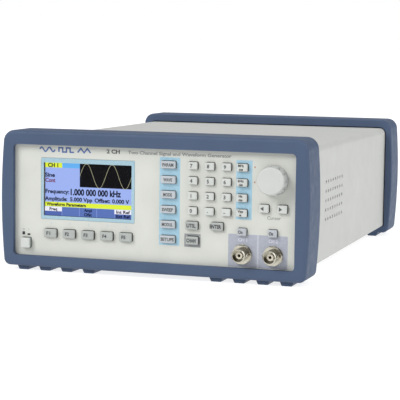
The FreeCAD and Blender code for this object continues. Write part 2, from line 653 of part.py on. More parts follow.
def rear_panel():
    inside = CASE_HALF_W - SHEET - REAR_PLAY
    bottom = CASE_BOTTOM + SHEET
    top = CASE_TOP - SHEET - REAR_PLAY
    sheet = block(-inside, inside, CASE_REAR_Y - SHEET, CASE_REAR_Y, bottom, top)
    corners = [e for e in edges_along(sheet, Y_AXIS) if e.CenterOfMass.z > PANEL_Z]
    sheet = sheet.makeFillet(CASE_FOLD_R - SHEET, corners)
    span = (CASE_REAR_Y - SHEET - CUT, CASE_REAR_Y + CUT)
    cuts = []
    for size, play, drop in ((INLET_BODY, INLET_BODY_PLAY, 0),
                             (FUSE_DRAWER, FUSE_DRAWER_PLAY, FUSE_DRAWER_DROP)):
        cuts.append(plate(*at_panel(INLET_X, INLET_Z - drop), size[0] + 2 * play, size[1] + 2 * play,
                          *span, INLET_BODY_R))
    cuts += [rod(*at_panel(x, REAR_SOCKET_Z), SOCKET_THREAD_R + HOLE_PLAY, *span) for x in REAR_SOCKET_X]
    reach = int(GRILLE_R // GRILLE_PITCH)
    for i in range(-reach, reach + 1):
        for j in range(-reach, reach + 1):
            if math.hypot(i, j) * GRILLE_PITCH <= GRILLE_R:
                x, z = at_panel(FAN_X + i * GRILLE_PITCH, FAN_Z + j * GRILLE_PITCH)
                cuts.append(rod(x, z, GRILLE_HOLE_R, *span))
    for x, z in fan_screw_places() + rear_screw_places() + inlet_screw_places():
        cuts.append(rod(x, z, SCREW_R + SCREW_PLAY, *span))
    return sheet.cut(cuts)


def mains_inlet():
    """A screw-flanged inlet with its recessed socket, and the fuse drawer below."""
    x, z = at_panel(INLET_X, INLET_Z)
    flange = plate(x, z, *INLET_FLANGE, CASE_REAR_Y, INLET_FACE_Y, INLET_FLANGE_R)
    body = plate(x, z, *INLET_BODY, INLET_FACE_Y - INLET_BODY_DEPTH, CASE_REAR_Y, INLET_BODY_R)
    cavity = plate(x, z, *INLET_CAVITY, INLET_FACE_Y - INLET_CAVITY_DEPTH, INLET_FACE_Y + CUT)
    upper = [e for e in edges_along(cavity, Y_AXIS) if e.CenterOfMass.z > z]
    cavity = cavity.makeChamfer(INLET_KEYWAY, upper)
    cuts = [cavity]
    for pin_x, pin_z in PIN_PLACES:
        pin_end = INLET_FACE_Y - INLET_BODY_DEPTH - CUT
        cuts.append(plate(x + pin_x, z + pin_z, *PIN_SIZE, pin_end, INLET_FACE_Y))
    for screw_x, screw_z in inlet_screw_places():
        cuts.append(rod(screw_x, screw_z, SCREW_R + SCREW_FIT, CASE_REAR_Y - CUT, INLET_FACE_Y + CUT))
    inlet = flange.fuse(body).cut(cuts).removeSplitter()
    drop = z - FUSE_DRAWER_DROP
    front_w, front_h = (side + 2 * FUSE_DRAWER_RIM for side in FUSE_DRAWER)
    drawer = plate(x, drop, front_w, front_h, CASE_REAR_Y, INLET_FACE_Y, INLET_BODY_R)
    pocket = plate(x, drop, *FUSE_DRAWER, INLET_FACE_Y - FUSE_DRAWER_DEPTH, CASE_REAR_Y, FUSE_DRAWER_R)
    grip = plate(x, drop, *FUSE_GRIP, INLET_FACE_Y - FUSE_GRIP_DEPTH, INLET_FACE_Y + CUT)
    return [inlet, drawer.fuse(pocket).cut(grip).removeSplitter()]


def mains_pins():
    x, z = at_panel(INLET_X, INLET_Z)
    front = INLET_FACE_Y - INLET_CAVITY_DEPTH + PIN_REACH
    back = INLET_FACE_Y - INLET_BODY_DEPTH - PIN_TAIL
    pins = []
    for pin_x, pin_z in PIN_PLACES:
        pin = plate(x + pin_x, z + pin_z, *PIN_SIZE, back, front)
        pins.append(pin.makeChamfer(PIN_CHAMFER, edges_in_plane_y(pin, front)))
    return pins


def fan_screw_places():
    half = FAN_HOLE_PITCH / 2
    return [at_panel(FAN_X + i * half, FAN_Z + j * half) for i in (-1, 1) for j in (-1, 1)]


def rear_screw_places():
    return [at_panel(i * REAR_SCREW_X, j * REAR_SCREW_Z) for i in (-1, 1) for j in (-1, 1)]


def inlet_screw_places():
    half = INLET_SCREW_PITCH / 2
    return [at_panel(INLET_X + i * half, INLET_Z) for i in (-1, 1)]


def fan_frame():
    """A square duct with three struts that carry the motor boss."""
    x, z = at_panel(FAN_X, FAN_Z)
    frame = plate(x, z, FAN_SIZE, FAN_SIZE, FAN_FRONT_Y, FAN_BACK_Y, FAN_CORNER_R)
    span = (FAN_FRONT_Y - CUT, FAN_BACK_Y + CUT)
    frame = frame.cut(rod(x, z, FAN_DUCT_R, *span))
    boss = rod(x, z, FAN_HUB_R, FAN_FRONT_Y, FAN_FRONT_Y + FAN_BOSS_T)
    pieces = [boss]
    for k in range(FAN_STRUTS):
        strut = block(x, x + FAN_DUCT_R + 1, FAN_FRONT_Y, FAN_FRONT_Y + FAN_BOSS_T,
                      z - FAN_STRUT_HALF, z + FAN_STRUT_HALF)
        pieces.append(strut.rotated(V(x, 0, z), Y_AXIS, (k + 0.25) * 360 / FAN_STRUTS))
    frame = frame.fuse(pieces)
    cuts = [rod(x, z, FAN_SHAFT_R + SHAFT_FIT, *span)]
    cuts += [rod(screw_x, screw_z, SCREW_R + SCREW_FIT, *span) for screw_x, screw_z in fan_screw_places()]
    return frame.cut(cuts).removeSplitter()


def fan_rotor():
    """Hub, shaft and pitched blades, clear of the duct and of the boss."""
    x, z = at_panel(FAN_X, FAN_Z)
    hub_front = FAN_FRONT_Y + FAN_BOSS_T + FAN_PLAY
    hub_back = FAN_BACK_Y - FAN_TAIL
    hub = rod(x, z, FAN_HUB_R, hub_front, hub_back)
    hub = hub.makeFillet(FAN_HUB_EDGE_R, edges_in_plane_y(hub, hub_back))
    rotor = hub.fuse(rod(x, z, FAN_SHAFT_R, FAN_FRONT_Y, hub_front + 1))
    middle = (hub_front + hub_back) / 2
    duct = rod(x, z, FAN_BLADE_R, hub_front + BLADE_TRIM, hub_back - BLADE_TRIM)
    for k in range(FAN_BLADES):
        blade = block(x + FAN_HUB_R - 1, x + FAN_BLADE_R + 1, middle - BLADE_T / 2, middle + BLADE_T / 2,
                      z - BLADE_CHORD / 2, z + BLADE_CHORD / 2)
        blade = blade.rotated(V(x, middle, z), X_AXIS, BLADE_PITCH)
        blade = blade.rotated(V(x, middle, z), Y_AXIS, 360.0 * k / FAN_BLADES)
        rotor = rotor.fuse(blade.common(duct))
    return rotor.removeSplitter()


# ---- boards inside --------------------------------------------------------
def board_corners(board):
    inset = BOARD_SCREW_INSET
    return [(x, y) for x in (board[0] + inset, board[1] - inset)
            for y in (board[2] + inset, board[3] - inset)]


def drilled_board(board):
    sheet = block(board[0], board[1], board[2], board[3], BOARD_Z, BOARD_Z + BOARD_T)
    return sheet.cut([upright(x, y, SCREW_R + SCREW_FIT, BOARD_Z - CUT, BOARD_Z + BOARD_T + CUT)
                      for x, y in board_corners(board)])


def on_board(x0, x1, y0, y1, height):
    top = BOARD_Z + BOARD_T
    return block(x0, x1, y0, y1, top, top + height)


def can_on_board(x, y, r, height):
    top = BOARD_Z + BOARD_T
    return upright(x, y, r, top, top + height)


def main_board():
    """The signal board: a shield can per channel, the logic chips and the headers."""
    header = on_board(RIBBON_X[0] - HEADER_MARGIN, RIBBON_X[1] + HEADER_MARGIN,
                      RIBBON_DROP_Y - HEADER_HALF, RIBBON_DROP_Y + HEADER_HALF, HEADER_T)
    shields = [on_board(*can) for can in SHIELD_CANS]
    shields = [can.makeFillet(SHIELD_CORNER_R, edges_along(can, Z_AXIS)) for can in shields]
    chips = [on_board(*chip) for chip in LOGIC_CHIPS]
    return [drilled_board(MAIN_BOARD), header] + shields + chips + [can_on_board(*can) for can in MAIN_CANS]


def power_supply():
    """The supply board: transformer, storage capacitors, chokes and a finned heat sink."""
    transformer = on_board(*TRANSFORMER_CORE).fuse(on_board(*TRANSFORMER_WINDING)).removeSplitter()
    top = BOARD_Z + BOARD_T
    face_x, first_y, last_y, height = HEAT_SINK[1:]
    fins = []
    for k in range(int((last_y - first_y) / FIN_PITCH) + 1):
        y = first_y + FIN_T + k * FIN_PITCH
        fins.append(block(face_x, face_x + FIN_REACH, y, y + FIN_T, top + FIN_LIFT, top + height))
    sink = on_board(*HEAT_SINK).fuse(fins).removeSplitter()
    return [drilled_board(POWER_BOARD), transformer, sink] + [can_on_board(*can) for can in POWER_CANS]


def board_standoffs():
    low = CASE_BOTTOM + SHEET
    posts = []
    for board in (MAIN_BOARD, POWER_BOARD):
        for x, y in board_corners(board):
            post = upright(x, y, STANDOFF_R, low, BOARD_Z)
            screw = upright(x, y, SCREW_R, BOARD_Z, BOARD_Z + BOARD_T)
            head = upright(x, y, SCREW_HEAD_R, BOARD_Z + BOARD_T, BOARD_Z + BOARD_T + SCREW_HEAD_T)
            posts.append(post.fuse([screw, head]).removeSplitter())
    return posts


def ribbon_cable():
    """The flat cable from the keypad board: straight back, then down to the main board."""
    start_y = KEYBOARD_Y + BOARD_T + HEADER_T
    end_z = BOARD_Z + BOARD_T + HEADER_T
    centre = (RIBBON_DROP_Y - RIBBON_BEND_R, RIBBON_START_Z - RIBBON_BEND_R)
    x0 = RIBBON_X[0]
    outlines = []
    for r in (RIBBON_BEND_R + RIBBON_T / 2, RIBBON_BEND_R - RIBBON_T / 2):
        diagonal = r * math.sqrt(0.5)
        outlines.append((V(x0, start_y, centre[1] + r), V(x0, centre[0], centre[1] + r),
                         V(x0, centre[0] + diagonal, centre[1] + diagonal),
                         V(x0, centre[0] + r, centre[1]), V(x0, centre[0] + r, end_z)))
    outer, inner = outlines
    edges = [Part.makeLine(outer[0], outer[1]), Part.Arc(*outer[1:4]).toShape(),
             Part.makeLine(outer[3], outer[4]), Part.makeLine(outer[4], inner[4]),
             Part.makeLine(inner[4], inner[3]), Part.Arc(*inner[3:0:-1]).toShape(),
             Part.makeLine(inner[1], inner[0]), Part.makeLine(inner[0], outer[0])]
    return Part.Face(Part.Wire(edges)).extrude(V(RIBBON_X[1] - RIBBON_X[0], 0, 0))


# ---- screws ---------------------------------------------------------------
def rear_screw(x, z, face_y):
    head = rod(x, z, SCREW_HEAD_R, face_y, face_y + SCREW_HEAD_T)
    top = face_y + SCREW_HEAD_T
    head = head.makeFillet(SCREW_EDGE_R, edges_in_plane_y(head, top))
    long, narrow = SCREW_CROSS
    cross = [plate(x, z, width, height, top - SCREW_CROSS_DEPTH, top + CUT)
             for width, height in ((long, narrow), (narrow, long))]
    return head.fuse(rod(x, z, SCREW_R, face_y - SCREW_LENGTH, face_y)).cut(cross).removeSplitter()


def chassis_screws():
    """Rear panel, fan and inlet screws, and the four under the tray."""
    screws = [rear_screw(x, z, CASE_REAR_Y) for x, z in rear_screw_places() + fan_screw_places()]
    screws += [rear_screw(x, z, INLET_FACE_Y) for x, z in inlet_screw_places()]
    for x in (-TRAY_SCREW_X, TRAY_SCREW_X):
        for y in TRAY_SCREW_Y:
            head = upright(x, y, SCREW_HEAD_R, CASE_BOTTOM - SCREW_HEAD_T, CASE_BOTTOM)
            shank = upright(x, y, SCREW_R, CASE_BOTTOM, CASE_BOTTOM + SCREW_LENGTH)
            screws.append(head.fuse(shank).removeSplitter())
    return screws


# ---- write every sub-part -------------------------------------------------
save("front_bumper", front_bumper())
save("rear_bumper", rear_bumper())
save("top_cover", top_cover())
save("chassis_tray", chassis_tray())
save("front_panel", front_panel())
save("rear_panel", rear_panel())
save("display_window", display_window())
save("display_module", *display_module())
save("keypad_board", *keypad_board())
save("encoder_body", encoder_body())
save("encoder_shaft", encoder_shaft())
save("tuning_knob", tuning_knob())
save("bnc_shells", *at_sockets(socket_shell))
save("bnc_insulators", *at_sockets(socket_insulator))
save("bnc_contacts", *at_sockets(socket_contact))
save("panel_nuts", *panel_nuts())
save("mains_inlet", *mains_inlet())
save("mains_pins", *mains_pins())
save("fan_frame", fan_frame())
save("fan_rotor", fan_rotor())
save("main_board", *main_board())
save("power_supply", *power_supply())
save("board_standoffs", *board_standoffs())
save("ribbon_cable", ribbon_cable())
save("chassis_screws", *chassis_screws())
for key_name in KEYS:
    save(key_name, key_cap(key_name))
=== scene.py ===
import json
import math

import bmesh
import bpy
from mathutils import Matrix, Vector


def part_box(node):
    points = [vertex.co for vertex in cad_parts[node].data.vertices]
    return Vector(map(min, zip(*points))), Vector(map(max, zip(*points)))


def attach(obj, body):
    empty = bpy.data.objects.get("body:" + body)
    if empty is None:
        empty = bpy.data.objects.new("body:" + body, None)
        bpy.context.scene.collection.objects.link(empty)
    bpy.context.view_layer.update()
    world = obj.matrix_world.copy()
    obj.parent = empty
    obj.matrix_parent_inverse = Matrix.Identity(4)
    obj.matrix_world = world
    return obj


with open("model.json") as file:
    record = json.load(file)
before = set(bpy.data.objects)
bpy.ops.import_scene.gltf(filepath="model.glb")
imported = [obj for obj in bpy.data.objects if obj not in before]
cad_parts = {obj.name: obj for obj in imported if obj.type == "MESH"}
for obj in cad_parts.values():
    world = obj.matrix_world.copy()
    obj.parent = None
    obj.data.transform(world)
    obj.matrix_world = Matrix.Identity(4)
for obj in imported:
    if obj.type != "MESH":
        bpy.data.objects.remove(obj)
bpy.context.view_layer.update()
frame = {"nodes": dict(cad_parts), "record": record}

MM = 0.001

# The control panel: sizes on it are in millimetres from its centre, x to the right and z up.
PANEL_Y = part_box("front_panel")[0][1]
PANEL_CENTRE_Z = 51.5 * MM
REAR_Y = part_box("rear_panel")[1][1]

# Camera: its place in metres, its directions in degrees
LENS = 130.55             # in millimetres, on the sensor below
SENSOR_WIDTH = 36.0
CAMERA_PLACE = (0.3492, -1.1101, 0.1640)
CAMERA_AZIMUTH = 18.18
CAMERA_ELEVATION = 6.08
CAMERA_ROLL = 0.73

FLOOR_RADIUS = 60.0
FLOOR_COLOUR = (0.35, 0.35, 0.355, 1.0)
FLOOR_GLOW = 0.8          # the floor's own light, which keeps it nearly white

# Lights: name, direction from the object to the light, strength, softness in degrees
LIGHTS = (("left_window", (-0.5, -0.65, 0.57), 1.9, 30), ("right_window", (0.85, -0.1, 0.517), 1.42, 60))
ROOM_STRENGTH = 0.6
ROOM_LEVELS = ((0.0, 0.5), (0.12, 0.3), (0.3, 0.75), (0.5, 1.1))   # sine of the height, brightness there

INK = 0.04                # thickness of a layer of ink, in millimetres
CAPITAL_SHARE = 0.682     # height of a capital over the font's size
SMOOTH_ANGLE = 35.0       # edges sharper than this stay crisp
CORNER_STEPS = 4          # straight pieces in a quarter round
MITRE_LIMIT = 0.3         # keeps the corners of a stroke from running out into spikes

NOISE_LOW, NOISE_HIGH = 0.3, 0.7    # most of a noise's values lie between these
WAVE_NODE_PERIOD = 0.314            # one band of the wave texture at scale 1, in metres
LCD_PIXEL = 0.28                    # pitch of the display's picture cells, in millimetres


# ---- materials ------------------------------------------------------------
def srgb(r, g, b):
    """An 8-bit display colour as a linear one."""
    return tuple(c / 12.92 if c <= 0.04045 else ((c + 0.055) / 1.055) ** 2.4
                 for c in (r / 255, g / 255, b / 255)) + (1.0,)


def toned(colour, factor):
    """The colour darker, with a factor under 1, or lighter."""
    return tuple(c * factor for c in colour[:3]) + (1.0,)


class Surface:
    """A Principled material with helpers for its procedural detail."""

    def __init__(self, name, colour, roughness, metallic=0.0, **sockets):
        self.material = bpy.data.materials.new(name)
        self.material.use_nodes = True
        self.tree = self.material.node_tree
        self.shader = self.tree.nodes["Principled BSDF"]
        self.colour = colour
        self.shader.inputs["Base Color"].default_value = colour
        self.shader.inputs["Roughness"].default_value = roughness
        self.shader.inputs["Metallic"].default_value = metallic
        for socket, value in sockets.items():
            self.shader.inputs[socket.replace("_", " ")].default_value = value
        self.place = self.tree.nodes.new("ShaderNodeTexCoord").outputs["Object"]

    def node(self, kind, **settings):
        made = self.tree.nodes.new(kind)
        for key, value in settings.items():
            setattr(made, key, value)
        return made

    def link(self, out, socket):
        self.tree.links.new(out, socket)

    def stretched(self, stretch):
        mapping = self.node("ShaderNodeMapping")
        mapping.inputs["Scale"].default_value = stretch
        self.link(self.place, mapping.inputs["Vector"])
        return mapping.outputs["Vector"]

    def noise(self, scale, detail=3.0, stretch=None):
        made = self.node("ShaderNodeTexNoise")
        made.inputs["Scale"].default_value = scale
        made.inputs["Detail"].default_value = detail
        self.link(self.stretched(stretch) if stretch else self.place, made.inputs["Vector"])
        return made.outputs["Fac"]

    def cells(self, scale, stretch=None):
        made = self.node("ShaderNodeTexVoronoi")
        made.inputs["Scale"].default_value = scale
        self.link(self.stretched(stretch) if stretch else self.place, made.inputs["Vector"])
        return made.outputs["Distance"]

    def remap(self, value, low, high):
        made = self.node("ShaderNodeMapRange")
        for socket, number in (("From Min", NOISE_LOW), ("From Max", NOISE_HIGH),
                               ("To Min", low), ("To Max", high)):
            made.inputs[socket].default_value = number
        self.link(value, made.inputs["Value"])
        return made.outputs["Result"]

    def vary_colour(self, value, low, high):
        """Lets a noise darken and lighten the base colour a little."""
        mix = self.node("ShaderNodeMix", data_type="RGBA")
        mix.inputs["A"].default_value = toned(self.colour, low)
        mix.inputs["B"].default_value = toned(self.colour, high)
        self.link(self.remap(value, 0.0, 1.0), mix.inputs["Factor"])
        self.link(mix.outputs["Result"], self.shader.inputs["Base Color"])
        return self

    def vary_roughness(self, value, low, high):
        self.link(self.remap(value, low, high), self.shader.inputs["Roughness"])
        return self

    def bump(self, value, strength, distance):
        made = self.node("ShaderNodeBump")
        made.inputs["Strength"].default_value = strength
        made.inputs["Distance"].default_value = distance
        self.link(value, made.inputs["Height"])
        self.link(made.outputs["Normal"], self.shader.inputs["Normal"])
        return self


def moulded(name, colour, roughness, grain=3500.0, depth=0.03, specular=0.5):
    """Moulded plastic or rubber: a fine spark-eroded grain and faint handling marks."""
    made = Surface(name, colour, roughness, Specular_IOR_Level=specular)
    made.vary_colour(made.noise(45.0), 0.96, 1.03)
    made.vary_roughness(made.noise(160.0), roughness - 0.06, roughness + 0.08)
    return made.bump(made.noise(grain, 2.0), 0.35, depth * MM).material


def painted(name, colour, roughness):
    """Baked textured paint on sheet metal."""
    made = Surface(name, colour, roughness)
    made.vary_colour(made.noise(20.0), 0.975, 1.02)
    made.vary_roughness(made.noise(90.0), roughness - 0.05, roughness + 0.07)
    return made.bump(made.cells(1400.0), 0.3, 0.05 * MM).material


def plated(name, colour, roughness, scratch=(1.0, 1.0, 1.0)):
    """Bright plated metal with faint stains and turning marks."""
    made = Surface(name, colour, roughness, metallic=1.0)
    made.vary_colour(made.noise(300.0), 0.9, 1.04)
    made.vary_roughness(made.noise(900.0, 3.0, scratch), roughness * 0.6, roughness * 1.5)
    return made.bump(made.noise(2500.0, 2.0, scratch), 0.12, 0.02 * MM).material


def printed(name, colour, roughness):
    """Screen-printed ink: an even film with pinholes and a slight mottle."""
    made = Surface(name, colour, roughness)
    made.vary_colour(made.noise(700.0), 0.93, 1.05)
    made.vary_roughness(made.noise(500.0), roughness - 0.08, roughness + 0.1)
    return made.bump(made.noise(5000.0, 2.0), 0.15, 0.01 * MM).material


def circuit(name, colour):
    """Solder mask over copper tracks."""
    made = Surface(name, colour, 0.35, Coat_Weight=0.3)
    made.vary_colour(made.cells(350.0, (1.0, 0.25, 1.0)), 0.75, 1.5)
    made.vary_roughness(made.noise(200.0), 0.28, 0.45)
    return made.bump(made.cells(350.0, (1.0, 0.25, 1.0)), 0.3, 0.05 * MM).material


def lit(name, colour):
    """A lit patch of the display: its own light, with the faint grid of its picture cells."""
    made = Surface(name, toned(colour, 0.06), 0.3, Specular_IOR_Level=0.05)
    wave = made.node("ShaderNodeTexWave", bands_direction="X", wave_profile="SIN")
    wave.inputs["Scale"].default_value = WAVE_NODE_PERIOD / (LCD_PIXEL * MM)
    made.link(made.place, wave.inputs["Vector"])
    mix = made.node("ShaderNodeMix", data_type="RGBA")
    mix.inputs["A"].default_value = toned(colour, 0.95)
    mix.inputs["B"].default_value = toned(colour, 1.05)
    made.link(wave.outputs["Fac"], mix.inputs["Factor"])
    made.link(mix.outputs["Result"], made.shader.inputs["Emission Color"])
    made.shader.inputs["Emission Strength"].default_value = 1.0
    return made.material


def clear_pane(name):
    """The display's hard clear window, nearly invisible head on, with a faint haze of wiping marks."""
    made = Surface(name, (0.02, 0.02, 0.03, 1.0), 0.35, Alpha=0.04, Specular_IOR_Level=0.1)
    made.vary_roughness(made.noise(60.0), 0.3, 0.4)
    return made.bump(made.noise(400.0), 0.05, 0.01 * MM).material


# Each finish as name: (kind, colour, roughness, and what else that kind takes)
FINISHES = {
    "bumper_rubber": (moulded, (72, 86, 110), 0.5, 2600.0, 0.06, 0.15),
    "cover_paint": (painted, (184, 185, 182), 0.55),
    "rear_paint": (painted, (184, 185, 182), 0.55),
    "panel_plastic": (moulded, (195, 197, 190), 0.6, 2400.0),
    # Painted shade: the skirts' dark and pale greys stand in for the shaded sides of the keys and the gaps
    # round them
    "key_skirt": (moulded, (60, 62, 56), 0.6),
    "side_pale": (moulded, (126, 134, 132), 0.55),
    "key_light": (moulded, (189, 192, 188), 0.5),
    "key_grey": (moulded, (160, 164, 161), 0.5),
    "key_menu": (moulded, (172, 178, 183), 0.5),
    "key_output": (moulded, (168, 172, 178), 0.5),
    "knob_plastic": (moulded, (186, 188, 185), 0.5),
    "white_insulator": (moulded, (212, 206, 190), 0.45),
    "black_plastic": (moulded, (34, 34, 36), 0.45),
    "ribbon_grey": (moulded, (150, 150, 152), 0.5),
    "display_glass": (moulded, (40, 42, 60), 0.2),
    "zinc_sheet": (plated, (190, 190, 188), 0.4, (1.0, 12.0, 1.0)),
    "nickel": (plated, (190, 186, 172), 0.16),
    "steel": (plated, (190, 190, 190), 0.3),
    # Painted shade: the socket contacts are dark to stand in for the shade down in the sockets' centre holes
    "dark_bronze": (plated, (70, 62, 50), 0.4),
    "brass": (plated, (200, 170, 100), 0.35),
    "board_green": (circuit, (30, 92, 52)),
}

INKS = {
    "ink_black": (22, 22, 22), "ink_dark": (62, 64, 66), "ink_grey": (128, 130, 128), "ink_key": (78, 80, 78),
    "ink_pale": (205, 206, 220), "ink_tick": (170, 184, 200), "ink_blue": (74, 98, 150),
    "ink_red": (170, 120, 105), "film_blue": (150, 187, 205), "film_border": (150, 180, 193),
    "film_output": (160, 164, 176), "film_grey": (135, 138, 140), "film_line": (180, 184, 196),
}

DISPLAY_COLOURS = {
    "lcd_back": (160, 181, 243), "lcd_blue": (104, 180, 246), "lcd_yellow": (228, 244, 66),
    "lcd_black": (10, 10, 12), "lcd_white": (240, 240, 252), "lcd_cell": (92, 118, 186),
    "lcd_cell_dark": (84, 106, 176), "lcd_text": (14, 14, 40), "lcd_red": (120, 48, 84),
    "lcd_trace": (196, 196, 160),
}

MATERIALS = {name: kind(name, srgb(*colour), *rest) for name, (kind, colour, *rest) in FINISHES.items()}
MATERIALS.update({name: printed(name, srgb(*colour), 0.5) for name, colour in INKS.items()})
MATERIALS.update({name: lit(name, srgb(*colour)) for name, colour in DISPLAY_COLOURS.items()})
MATERIALS["window_pane"] = clear_pane("window_pane")

# The material of every CAD node; the keys that aren't named here have dark skirts, whose dark tone is painted
# shade on the keys' sides
NODE_MATERIALS = {
    "front_bumper": "bumper_rubber", "rear_bumper": "bumper_rubber", "top_cover": "cover_paint",
    "chassis_tray": "zinc_sheet", "front_panel": "panel_plastic", "rear_panel": "rear_paint",
    "display_window": "window_pane", "display_module": "display_glass", "keypad_board": "board_green",
    "encoder_body": "nickel", "encoder_shaft": "steel", "tuning_knob": "knob_plastic",
    "bnc_shells": "nickel", "bnc_insulators": "white_insulator", "bnc_contacts": "dark_bronze",
    "panel_nuts": "nickel", "mains_inlet": "black_plastic", "mains_pins": "nickel",
    "fan_frame": "black_plastic", "fan_rotor": "black_plastic", "main_board": "board_green",
    "power_supply": "board_green", "board_standoffs": "brass", "ribbon_cable": "ribbon_grey",
    "chassis_screws": "steel",
}
# Keys whose skirts take the paler painted shade on their sides
PALE_SHADE_SKIRTS = ("power", "output_1", "output_2", "param", "wave", "mode", "sweep", "modulation", "setups")
NODE_MATERIALS.update({"key_" + name: "side_pale" for name in PALE_SHADE_SKIRTS})


for node, obj in frame["nodes"].items():
    obj.data.materials.clear()
    obj.data.materials.append(MATERIALS[NODE_MATERIALS.get(node, "key_skirt")])


# ---- mesh building ----------------------------------------------------------
def add_object(name, bm, materials, body):
    bmesh.ops.recalc_face_normals(bm, faces=bm.faces)
    mesh = bpy.data.meshes.new(name)
    bm.to_mesh(mesh)
    bm.free()
    obj = bpy.data.objects.new(name, mesh)
    bpy.context.collection.objects.link(obj)
    for material in materials:
        mesh.materials.append(MATERIALS[material])
    mesh.shade_smooth()
    mesh.set_sharp_from_angle(angle=math.radians(SMOOTH_ANGLE))
    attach(obj, body)
    return obj


def rounded_outline(x, z, width, height, radius):
    """Points of a rounded rectangle, anticlockwise as seen from the front."""
    points = []
    for sign_x, sign_z, start in ((1, 1, 0), (-1, 1, 90), (-1, -1, 180), (1, -1, 270)):
        centre = (x + sign_x * (width / 2 - radius), z + sign_z * (height / 2 - radius))
        for k in range(CORNER_STEPS + 1):
            angle = math.radians(start + 90 * k / CORNER_STEPS)
            points.append((centre[0] + radius * math.cos(angle), centre[1] + radius * math.sin(angle)))
    return points


def panel_point(x, z, proud):
    """A point over the control panel, given in millimetres, as a place in the scene."""
    return Vector((x * MM, PANEL_Y - proud * MM, PANEL_CENTRE_Z + z * MM))


def loft(bm, sections, material=0):
    """A closed solid through outlines at rising heights: sections is a list of (outline, proud)."""
    rings = [[bm.verts.new(panel_point(x, z, proud)) for x, z in outline] for outline, proud in sections]
    count = len(rings[0])
    faces = [bm.faces.new(rings[0]), bm.faces.new(rings[-1])]
    for low, high in zip(rings, rings[1:]):
        for k in range(count):
            faces.append(bm.faces.new((low[k], low[(k + 1) % count], high[(k + 1) % count], high[k])))
    for face in faces:
        face.material_index = material


def add_text(bm, words, x, z, cap, low, high, material, width, weight):
    """Letters of solid ink on the panel side, with the middle of their ink at x and of their capitals at z.

    cap is the height of a capital, width, unless it is None, stretches the line to that length, and weight
    is how much each stroke of a letter grows on either side.
    """
    curve = bpy.data.curves.new("letters", "FONT")
    curve.body = words
    curve.size = cap / CAPITAL_SHARE * MM
    curve.extrude = (high - low) / 2 * MM
    curve.offset = weight * MM
    curve.resolution_u = 3
    holder = bpy.data.objects.new("letters", curve)
    mesh = bpy.data.meshes.new_from_object(holder)
    across = [vertex.co.x for vertex in mesh.vertices]
    stretch = width * MM / (max(across) - min(across)) if width else 1.0
    upright = Matrix.Rotation(math.radians(90), 4, "X") @ Matrix.Diagonal((stretch, 1, 1, 1))
    start = x - (max(across) + min(across)) / 2 * stretch / MM
    mesh.transform(Matrix.Translation(panel_point(start, z - cap / 2, (low + high) / 2)) @ upright)
    first = len(bm.faces)
    bm.from_mesh(mesh)
    bm.faces.ensure_lookup_table()
    for face in bm.faces[first:]:
        face.material_index = material
    bpy.data.objects.remove(holder)
    bpy.data.curves.remove(curve)
    bpy.data.meshes.remove(mesh)


def film(bm, x0, x1, z0, z1, holes, low, high, material):
    """A thin rectangular film with rectangular holes (x0, x1, z0, z1), as one closed shell."""
    columns = sorted({x0, x1} | {edge for hole in holes for edge in hole[:2] if x0 < edge < x1})
    rows = sorted({z0, z1} | {edge for hole in holes for edge in hole[2:] if z0 < edge < z1})

    def kept(i, k):
        if not (0 <= i < len(columns) - 1 and 0 <= k < len(rows) - 1):
            return False
        x, z = (columns[i] + columns[i + 1]) / 2, (rows[k] + rows[k + 1]) / 2
        return not any(a < x < b and c < z < d for a, b, c, d in holes)

    made = {}

    def corner(i, k, proud):
        key = (i, k, proud)
        if key not in made:
            made[key] = bm.verts.new(panel_point(columns[i], rows[k], proud))
        return made[key]

    def face(corners):
        bm.faces.new([corner(*each) for each in corners]).material_index = material

    for i in range(len(columns) - 1):
        for k in range(len(rows) - 1):
            if not kept(i, k):
                continue
            ring = [(i, k), (i + 1, k), (i + 1, k + 1), (i, k + 1)]
            for proud in (low, high):
                face([(a, b, proud) for a, b in ring])
            for (a, b), beyond in zip(ring, ((i, k - 1), (i + 1, k), (i, k + 1), (i - 1, k))):
                following = ring[(ring.index((a, b)) + 1) % 4]
                if not kept(*beyond):
                    face([(a, b, low), (*following, low), (*following, high), (a, b, high)])


# ---- stage ------------------------------------------------------------------
def make_camera():
    azimuth, elevation, roll = map(math.radians, (CAMERA_AZIMUTH, CAMERA_ELEVATION, CAMERA_ROLL))
    back = Vector((math.sin(azimuth) * math.cos(elevation),
                   -math.cos(azimuth) * math.cos(elevation), math.sin(elevation)))
    level = Vector((math.cos(azimuth), math.sin(azimuth), 0))
    above = back.cross(level)
    right = level * math.cos(roll) + above * math.sin(roll)
    up = above * math.cos(roll) - level * math.sin(roll)
    camera = bpy.data.objects.new("camera", bpy.data.cameras.new("camera"))
    camera.data.lens = LENS
    camera.data.sensor_width = SENSOR_WIDTH
    camera.data.clip_start = 0.05
    camera.matrix_world = Matrix.Translation(CAMERA_PLACE) @ Matrix((right, up, back)).transposed().to_4x4()
    bpy.context.collection.objects.link(camera)
    bpy.context.scene.camera = camera


def make_floor():
    bm = bmesh.new()
    bmesh.ops.create_circle(bm, cap_ends=True, radius=FLOOR_RADIUS, segments=64)
    mesh = bpy.data.meshes.new("floor")
    bm.to_mesh(mesh)
    bm.free()
    floor = bpy.data.objects.new("floor", mesh)
    bpy.context.collection.objects.link(floor)
    surface = Surface("floor_paper", FLOOR_COLOUR, 0.9, Specular_IOR_Level=0.1)
    surface.vary_colour(surface.noise(3.0), 0.995, 1.005)
    surface.shader.inputs["Emission Color"].default_value = (1.0, 1.0, 1.0, 1.0)
    surface.shader.inputs["Emission Strength"].default_value = FLOOR_GLOW
    mesh.materials.append(surface.material)


def sun_light(name, towards, strength, softness):
    """A far soft light: towards points from the object to the light, softness is its angle in degrees."""
    light = bpy.data.lights.new(name, "SUN")
    light.energy = strength
    light.angle = math.radians(softness)
    holder = bpy.data.objects.new(name, light)
    holder.rotation_mode = "QUATERNION"
    holder.rotation_quaternion = Vector(towards).to_track_quat("Z", "Y")
    bpy.context.collection.objects.link(holder)


